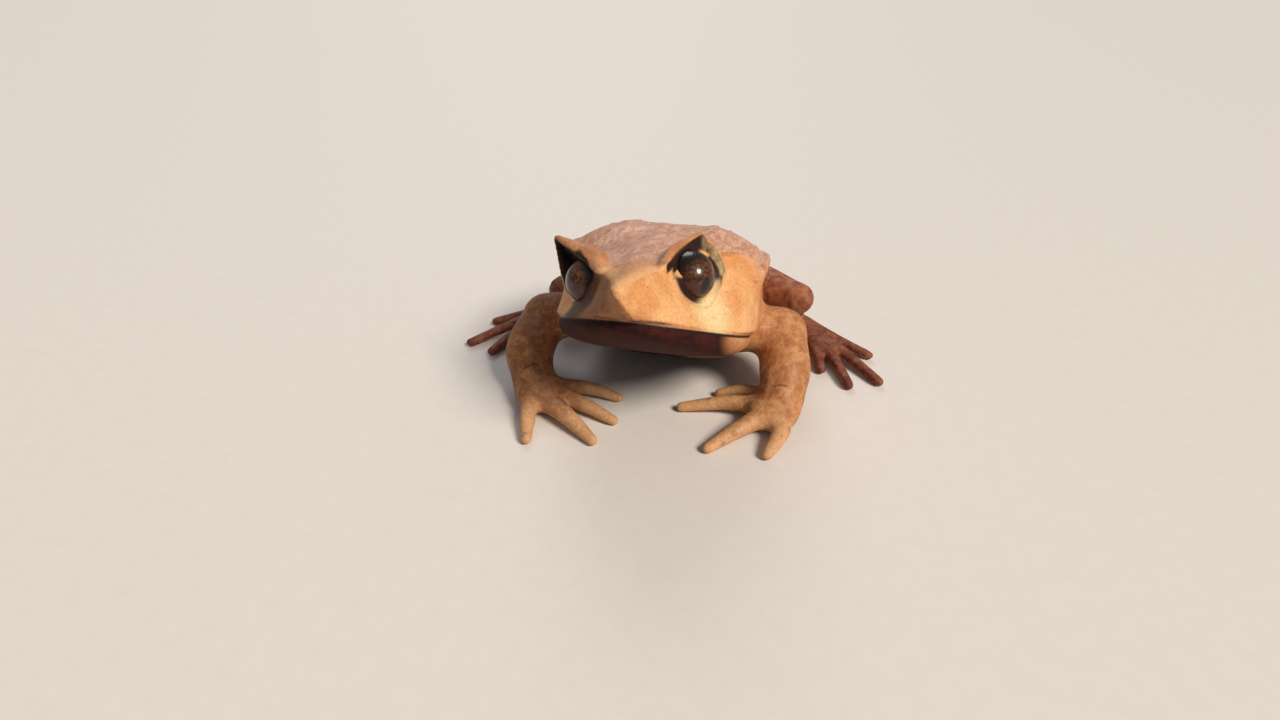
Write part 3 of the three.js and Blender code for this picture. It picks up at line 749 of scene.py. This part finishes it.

# The sides of the face under the brow, painted shade on the snout's right side and on the skin before the
# right eye, and the crown and back.
face_side = on_head * ease(0.2, 0.9, over_lip) * (1 - ease(-0.4, 0.6, over_brow))
down_snout = clamp(-over_brow / (brow - lip))
snout_right = 1 - ease(-0.5, 0.5, across - lerp(-0.9, 1.6, down_snout))
snout_shade = on_head * ease(11, 17, forward) * (1 - ease(-0.6, 0.2, over_brow)) * snout_right
eye_shade = (1 - ease(EYE_SHADE_FULL, EYE_SHADE_END, eye_far)) * ease(14, 18, forward)
eye_shade = eye_shade * snout_right * (1 - ease(-0.8, 0, over_brow))
# The crown and the top of the back: rose brown of their own, paler and pinker as painted sheen on the
# skin that faces up.
crown_top = ease(-0.3, 0.8, over_brow) * (1 - ease(14, 27, forward))
trunk_top = ease(-2.2, 1.2, points[:, 2] - trunk_measure(2, points[:, 1]))
trunk_top = trunk_top * ease(0.05, 0.45, normals[:, 2]) * (1 - on_legs)
# Painted light: a cream patch round the left eye, where the light falls on the left cheek.
lit_cheek_cream = np.exp(-((away(points, head_point(*LIT_CHEEK_MIDDLE)) / LIT_CHEEK_REACH) ** 2)) * (1 - below_lip)
# Painted highlight: a paler line along the sharp edge of the brow.
brow_edge_highlight = on_head * ease(0.3, 1, 1 - np.abs(over_brow) / 1.2) * (1 - below_lip)

# The maroon of the jaw and throat, the jaw's own dark colour deepened with painted shade under the jaw
# and on the skin that faces down, which stops short of the mouth's left corner, where the light falls.
jaw_front = on_head * ease(-1, 6, forward)
tan_corner = ease(TAN_CORNER_START, TAN_CORNER_FULL, across)
throat = (1 - on_arms) * (1 - on_legs) * (1 - tan_corner) * ease(-0.2, 0.3, -normals[:, 2])
throat = throat * (1 - ease(-18, -4, points[:, 1])) * below_lip
belly = ease(0.2, 0.8, -normals[:, 2]) * (1 - jaw_front * below_lip)

fingertips = [np.array(finger[-1][:3]) * [side, 1, 1] for side, hand in SIDES for finger in FINGERS[hand]]
tip_off = np.min([away(points, tip) for tip in fingertips], axis=0)
nape_off = chain_distance(nape_line() * [1, 1, 1, 0])(*points.T)

# Each marking is a share from nought to one, except under_lip, a height in millimetres.
markings = {
    "back": lerp(trunk_top, crown_top, on_head) * (1 - on_arms) * (1 - on_horns),
    "face": face_side,
    "arms": on_arms,
    "shaded_arm": on_arms * ease(2, -2, points[:, 0]),
    "legs": on_legs * (1 - on_head),
    "feet": on_legs * ease(27, 33, np.abs(points[:, 0])),
    "belly": belly,
    "snout_shade": snout_shade,
    "eye_shade": eye_shade,
    "jaw": jaw_front * (1 - 0.85 * tan_corner),
    "throat": throat,
    "under_lip": under_lip,
    "edges": brow_edge_highlight,
    "lit_cheek_cream": lit_cheek_cream,
    "tips": 1 - ease(2, 15, tip_off),
    "warts": wart,
    "dark": np.maximum(lid_shade, in_hollow),
    # Painted light: a paler olive patch where light falls into the outer top of the left horn's hollow.
    "olive_painted_light": in_hollow * ease(9.8, 12.4, across) * ease(7, 9.5, up),
    "lid_rim": lid_rim,
    # Painted shade: near black in the wrist creases, the nape crease and the crease round each lower lid.
    "lines": np.maximum.reduce([
        0.6 * wrist_line, 0.35 * (1 - ease(0.4, 0.9, nape_off)), 0.35 * lid_crease,
    ]),
    # Painted shade along the groove of the shut mouth.
    "mouth": on_head * ease(-MOUTH_END_BEHIND - 1, 3, forward),
}
for name, values in markings.items():
    mesh.attributes.new(name, "FLOAT", "POINT").data.foreach_set("value", values.astype(np.float32))


class Shade:
    """A value in a material's nodes. Sums on values are written as sums and add their own nodes."""

    def __init__(self, tree, socket=None):
        self.tree, self.socket = tree, socket

    def node(self, kind, settings, inputs, out=0):
        made = self.tree.nodes.new(kind)
        for name, value in settings.items():
            setattr(made, name, value)
        for name, value in inputs.items():
            socket = made.inputs[name]
            if isinstance(value, Shade):
                self.tree.links.new(value.socket, socket)
            else:
                socket.default_value = value
        return Shade(self.tree, made.outputs[out])

    def maths(self, operation, a, b=0.0):
        return self.node("ShaderNodeMath", {"operation": operation}, {0: a, 1: b})

    def __add__(self, other):
        return self.maths("ADD", self, other)

    __radd__ = __add__

    def __sub__(self, other):
        return self.maths("SUBTRACT", self, other)

    def __rsub__(self, other):
        return self.maths("SUBTRACT", other, self)

    def __mul__(self, other):
        return self.maths("MULTIPLY", self, other)

    __rmul__ = __mul__

    def rising(self, low, high):
        """Nought below low and one above high, eased between them."""
        return self.node(
            "ShaderNodeMapRange", {"interpolation_type": "SMOOTHSTEP"},
            {"Value": self, "From Min": low, "From Max": high},
        )

    def mixed(self, first, second):
        """The first colour where this value is nought and the second where it is one."""
        return self.node("ShaderNodeMix", {"data_type": "RGBA"}, {0: self, 6: first, 7: second}, out=2)


def paint(red, green, blue):
    """A colour as a painter's chart gives it, 0 to 255, made linear."""
    parts = [value / 255 for value in (red, green, blue)]
    return tuple(p / 12.92 if p <= 0.04045 else ((p + 0.055) / 1.055) ** 2.4 for p in parts) + (1.0,)


def material(name):
    made = bpy.data.materials.new(name)
    made.use_nodes = True
    tree = made.node_tree
    shader = tree.nodes["Principled BSDF"]
    return made, tree, shader


def clouds_of(start, where, grain, detail=3.0, roughness=0.55, warp=0.0):
    """Cloudy noise whose clouds are about grain millimetres across."""
    return start.node(
        "ShaderNodeTexNoise", {"noise_dimensions": "3D"},
        {"Vector": where, "Scale": 1 / (grain * MM), "Detail": detail, "Roughness": roughness,
         "Distortion": warp},
    )


SKIN_ROUGHNESS, SKIN_COAT_ROUGHNESS, SKIN_SPECULAR = 0.46, 0.36, 0.18
CLOUD_SIZE, MOTTLE_SIZE, STREAK_SIZE, SPECK_SIZE, GRAIN_SIZE = 7, 2.2, 1.3, 0.9, 0.55
PEBBLE_SIZE, RELIEF_DEPTH, RELIEF_STRENGTH = 0.8, 0.22, 0.5


def skin_material():
    made, tree, shader = material("frog_skin")
    start = Shade(tree)
    where = start.node("ShaderNodeTexCoord", {}, {}, out="Object")
    combed = start.node("ShaderNodeMapping", {}, {"Vector": where, "Scale": (1.0, 0.35, 1.0)})
    clouds = clouds_of(start, where, CLOUD_SIZE, 4)
    mottle = clouds_of(start, where, MOTTLE_SIZE, 5, 0.62, 0.4)
    grain = clouds_of(start, where, GRAIN_SIZE, 3, 0.6)
    streaks = clouds_of(start, combed, STREAK_SIZE, 4, 0.6, 0.8)

    def share_of(name):
        return start.node("ShaderNodeAttribute", {"attribute_name": name}, {}, out="Fac")

    def marking(name, loose):
        """A marking's share, its edge as loose as given: it wanders with the mottle."""
        return (share_of(name) + (mottle - 0.5) * loose).rising(0.12, 0.88)

    def tone(noise, low, high, dark, light):
        return noise.rising(low, high).mixed(paint(*dark), paint(*light))

    def coated(colour, *coats):
        """Lays coats over the colour, each [marking, looseness, strength, its own colour]."""
        for name, loose, strength, coat in coats:
            colour = (marking(name, loose) * strength).mixed(colour, coat)
        return colour

    tan = tone(clouds, 0.3, 0.7, (182, 116, 70), (208, 146, 96))
    # The back's own rose brown, lightened with painted sheen.
    rose_and_sheen = tone(streaks, 0.35, 0.7, (194, 140, 110), (228, 180, 150))
    orange = tone(clouds, 0.35, 0.65, (218, 150, 92), (234, 178, 120))
    arm_tan = tone(mottle, 0.35, 0.7, (166, 104, 62), (204, 146, 96))
    arm_shade = tone(mottle, 0.35, 0.7, (112, 70, 44), (162, 110, 72))
    leg_brown = tone(mottle, 0.35, 0.65, (132, 74, 50), (176, 114, 80))
    foot_brown = tone(mottle, 0.35, 0.65, (92, 42, 28), (132, 74, 50))
    belly_buff = tone(mottle, 0.4, 0.6, (120, 70, 50), (182, 142, 112))
    # Painted shade for the snout's right side.
    snout_painted_shade = tone(clouds, 0.3, 0.7, (112, 64, 34), (146, 90, 50))
    maroon_and_shade = tone(mottle, 0.3, 0.75, (34, 7, 5), (76, 26, 16))
    near_black = tone(mottle, 0.3, 0.7, (28, 12, 7), (56, 28, 16))
    # The colour of the painted light inside the left horn's hollow.
    olive_painted_light = tone(mottle, 0.3, 0.7, (122, 96, 62), (188, 158, 114))
    fine = tone(grain, 0.25, 0.75, (196, 184, 172), (255, 255, 255))

    # The right arm, the snout's right side and the skin before the right eye take painted shade.
    colour = coated(
        tan, ["back", 0.35, 1, rose_and_sheen], ["face", 0.2, 1, orange], ["arms", 0.25, 1, arm_tan],
        ["shaded_arm", 0.35, 0.55, arm_shade], ["legs", 0.35, 1, leg_brown],
        ["feet", 0.35, 0.7, foot_brown], ["belly", 0.35, 1, belly_buff],
        ["snout_shade", 0.15, 0.75, snout_painted_shade], ["eye_shade", 0.15, 0.8, paint(66, 34, 18)],
    )
    # The jaw and throat: their own maroon, deepened with painted shade under the jaw.
    under_lip = share_of("under_lip")
    jaw = marking("jaw", 0.1) * under_lip.rising(0.1, 0.5)
    low_parts = start.maths("MAXIMUM", marking("throat", 0.15), jaw)
    colour = low_parts.mixed(colour, maroon_and_shade)
    # A painted highlight on the brow's edge, painted light in cream round the left eye, pale fingertips
    # and darker warts.
    colour = coated(
        colour, ["edges", 0.3, 0.8, paint(232, 176, 122)], ["lit_cheek_cream", 0.25, 1, paint(238, 206, 152)],
        ["tips", 0.2, 0.65, paint(224, 172, 122)], ["warts", 0.3, 0.4, paint(118, 68, 46)],
    )
    colour = start.node(
        "ShaderNodeMix", {"data_type": "RGBA", "blend_type": "MULTIPLY"}, {0: 0.5, 6: colour, 7: fine},
        out=2,
    )
    specks = (1 - clouds_of(start, where, SPECK_SIZE, 2).rising(0.26, 0.33)) * 0.45
    colour = specks.mixed(colour, paint(96, 52, 32))
    # Near black under each horn, painted light in the left horn's hollow, the pale lid rim, and painted
    # shade in the creases.
    colour = coated(
        colour, ["dark", 0.15, 1, near_black], ["olive_painted_light", 0.3, 1, olive_painted_light],
        ["lid_rim", 0.1, 1, paint(214, 178, 132)], ["lines", 0.1, 1, paint(30, 10, 6)],
    )
    # Painted shade: a near black line in the groove of the shut mouth.
    from_line = start.maths("ABSOLUTE", under_lip - MOUTH_UNDER_LIP)
    mouth = (1 - from_line.rising(0.08, 0.4)) * marking("mouth", 0)
    colour = mouth.mixed(colour, paint(24, 8, 5))
    tree.links.new(colour.socket, shader.inputs["Base Color"])

    pebbles = start.node(
        "ShaderNodeTexVoronoi", {"feature": "SMOOTH_F1"},
        {"Vector": where, "Scale": 1 / (PEBBLE_SIZE * MM), "Smoothness": 0.6},
    )
    relief = (1 - pebbles) * 0.6 + mottle * 0.8 + grain * 0.35
    bump = start.node(
        "ShaderNodeBump", {},
        {"Strength": RELIEF_STRENGTH, "Distance": RELIEF_DEPTH * MM, "Height": relief}, out="Normal",
    )
    tree.links.new(bump.socket, shader.inputs["Normal"])
    rough = SKIN_ROUGHNESS + mottle * 0.26 + low_parts * 0.2
    tree.links.new(rough.socket, shader.inputs["Roughness"])
    wet = (marking("back", 0.2) * 0.16 + 0.1) * (1 - low_parts)
    tree.links.new(wet.socket, shader.inputs["Coat Weight"])
    shader.inputs["Coat Roughness"].default_value = SKIN_COAT_ROUGHNESS
    shader.inputs["Specular IOR Level"].default_value = SKIN_SPECULAR
    return made


mesh.materials.append(skin_material())
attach(frog, "root")
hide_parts(*[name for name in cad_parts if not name.startswith("eye_")])

# Each eye is a wet ball with a slightly raised cornea, a dark upright pupil and a deep reddish
# brown iris with a few paler flecks. It sits in its own socket under the horn.
EYE_RINGS, EYE_SIDES = 56, 80
CORNEA_RISE, CORNEA_ANGLE = 0.16, 0.75
EYE_ROUGHNESS, EYE_SPECULAR, EYE_COAT, EYE_COAT_ROUGHNESS = 0.3, 0.25, 0.4, 0.06


def eye_mesh(side):
    centre, look = eye_centre(side), gaze(side)
    upward = head_point(0, 0, 1) - head_point(0, 0, 0)
    beside = np.cross(upward, look)
    beside /= np.linalg.norm(beside)
    upward = np.cross(look, beside)
    places = [(0.0, 0.0, 1.0)]
    for ring in range(1, EYE_RINGS):
        tilt = math.pi * ring / EYE_RINGS
        for k in range(EYE_SIDES):
            turn = 2 * math.pi * k / EYE_SIDES
            out = math.sin(tilt)
            places.append((out * math.cos(turn), out * math.sin(turn), math.cos(tilt)))
    places.append((0.0, 0.0, -1.0))
    places = np.array(places)
    tilt = np.arccos(clamp(places[:, 2], -1, 1))
    reach = EYE_RADIUS - CORNEA_RISE + CORNEA_RISE * np.exp(-((tilt / CORNEA_ANGLE) ** 4))
    points = centre + reach[:, None] * (places @ np.array([beside, upward, look]))
    faces = []
    last = len(places) - 1
    last_ring = last - EYE_SIDES
    for k in range(EYE_SIDES):
        following = (k + 1) % EYE_SIDES
        faces.append((0, 1 + k, 1 + following))
        faces.append((last, last_ring + following, last_ring + k))
        for first in range(1, last_ring, EYE_SIDES):
            second = first + EYE_SIDES
            faces.append((first + k, second + k, second + following, first + following))
    made = bpy.data.meshes.new("eyeball")
    made.from_pydata((points * MM).tolist(), [], faces)
    made.polygons.foreach_set("use_smooth", np.ones(len(faces), bool))
    made.attributes.new("iris_place", "FLOAT_VECTOR", "POINT").data.foreach_set(
        "vector", places.astype(np.float32).ravel()
    )
    return made


def eye_material():
    made, tree, shader = material("frog_eye")
    start = Shade(tree)
    place = start.node("ShaderNodeAttribute", {"attribute_name": "iris_place"}, {}, out="Vector")
    beside, upward, ahead = [
        start.node("ShaderNodeSeparateXYZ", {}, {0: place}, out=axis) for axis in range(3)
    ]
    off_beside, off_up = beside * beside, upward * upward
    pupil = 1 - (off_beside * 3.2 + off_up).rising(0.1, 0.125)
    iris = (1 - (off_beside + off_up).rising(0.5, 0.95)) * ahead.rising(-0.1, 0.1)
    flecks = start.node(
        "ShaderNodeTexNoise", {"noise_dimensions": "3D"},
        {"Vector": place, "Scale": 9.0, "Detail": 5.0, "Roughness": 0.7, "Distortion": 0.6},
    )
    light_part = (upward + (flecks - 0.5) * 0.6).rising(-0.1, 0.6) * flecks.rising(0.42, 0.66)
    ring = flecks.rising(0.35, 0.62).mixed(paint(40, 17, 9), paint(78, 38, 20))
    ring = (light_part * 0.45).mixed(ring, paint(132, 94, 54))
    colour = iris.mixed(paint(26, 12, 8), ring)
    colour = pupil.mixed(colour, paint(8, 5, 5))
    tree.links.new(colour.socket, shader.inputs["Base Color"])
    rough = EYE_ROUGHNESS - pupil * 0.15
    tree.links.new(rough.socket, shader.inputs["Roughness"])
    shader.inputs["Specular IOR Level"].default_value = EYE_SPECULAR
    shader.inputs["Coat Weight"].default_value = EYE_COAT
    shader.inputs["Coat Roughness"].default_value = EYE_COAT_ROUGHNESS
    return made


wet_eye = eye_material()
for side, hand in SIDES:
    ball = bpy.data.objects.new("eyeball_" + hand, eye_mesh(side))
    ball.data.materials.append(wet_eye)
    bpy.context.scene.collection.objects.link(ball)
    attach(ball, "root")
    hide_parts("eye_" + hand)

# The floor is a wide pale sheet of matt card, lying level under the frog, and the room round it
# gives a soft grey light from everywhere.
FLOOR_HALF = 3.0
CARD_GRAIN, CARD_ROUGHNESS = 3, 0.7
ROOM_COLOUR, ROOM_STRENGTH = (0.9, 0.92, 0.96, 1), 0.24


def floor_material():
    made, tree, shader = material("pale_card")
    start = Shade(tree)
    where = start.node("ShaderNodeTexCoord", {}, {}, out="Object")
    colour = clouds_of(start, where, CARD_GRAIN).mixed(paint(218, 208, 198), paint(225, 216, 206))
    tree.links.new(colour.socket, shader.inputs["Base Color"])
    shader.inputs["Roughness"].default_value = CARD_ROUGHNESS
    return made


floor_mesh = bpy.data.meshes.new("floor")
floor_corners = [(x * FLOOR_HALF, y * FLOOR_HALF, 0) for x, y in ((-1, -1), (1, -1), (1, 1), (-1, 1))]
floor_mesh.from_pydata(floor_corners, [], [(0, 1, 2, 3)])
floor_mesh.materials.append(floor_material())
floor = bpy.data.objects.new("floor", floor_mesh)
bpy.context.scene.collection.objects.link(floor)

world = bpy.data.worlds.new("room")
world.use_nodes = True
room_light = world.node_tree.nodes["Background"].inputs
room_light["Color"].default_value = ROOM_COLOUR
room_light["Strength"].default_value = ROOM_STRENGTH
bpy.context.scene.world = world
bpy.context.scene.view_settings.view_transform = "Standard"

# Daylight falls from high up on the frog's left side and a little before it, through a wide
# window, and a weaker cool light from behind puts the sheen on its back. Each is [where it comes
# from, strength, width in degrees, colour].
DAYLIGHTS = {
    "window_light": [(0.75, -0.42, 0.8), 3.35, 20, (1.0, 0.95, 0.88)],
    "back_light": [(-0.25, 0.75, 0.62), 0.75, 30, (0.84, 0.88, 1.0)],
}


def daylight(name, source, strength, width, colour):
    light = bpy.data.lights.new(name, "SUN")
    light.energy = strength
    light.angle = math.radians(width)
    light.color = colour
    made = bpy.data.objects.new(name, light)
    back = np.array(source) / np.linalg.norm(source)
    beside = np.cross((0, 0, 1), back)
    beside /= np.linalg.norm(beside)
    turn = np.stack([beside, np.cross(back, beside), back], axis=1)
    made.matrix_world = Matrix(turn.tolist()).to_4x4()
    bpy.context.scene.collection.objects.link(made)


for name, values in DAYLIGHTS.items():
    daylight(name, *values)

# The camera looks down on the frog's face from a hand's breadth away, a little to its left. Its
# focal length and the picture's width are given in the photo's pixels.
CAMERA_PLACE = (0.0232, -0.1501, 0.0835)
CAMERA_RIGHT = (0.977, 0.215, 0.0)
CAMERA_AHEAD = (-0.183, 0.833, -0.521)
FOCAL_PIXELS, PICTURE_PIXELS = 700, 1280
SENSOR_WIDTH = 36
NEAREST_SEEN, FARTHEST_SEEN = 0.005, 20

ahead = np.array(CAMERA_AHEAD) / np.linalg.norm(CAMERA_AHEAD)
right = np.array(CAMERA_RIGHT) - np.dot(CAMERA_RIGHT, ahead) * ahead
right /= np.linalg.norm(right)
turn = np.stack([right, np.cross(right, ahead), -ahead], axis=1)
camera_data = bpy.data.cameras.new("camera")
camera_data.sensor_width = SENSOR_WIDTH
camera_data.lens = SENSOR_WIDTH * FOCAL_PIXELS / PICTURE_PIXELS
camera_data.clip_start = NEAREST_SEEN
camera_data.clip_end = FARTHEST_SEEN
camera = bpy.data.objects.new("camera", camera_data)
camera.matrix_world = Matrix.Translation(CAMERA_PLACE) @ Matrix(turn.tolist()).to_4x4()
bpy.context.scene.collection.objects.link(camera)
bpy.context.scene.camera = camera
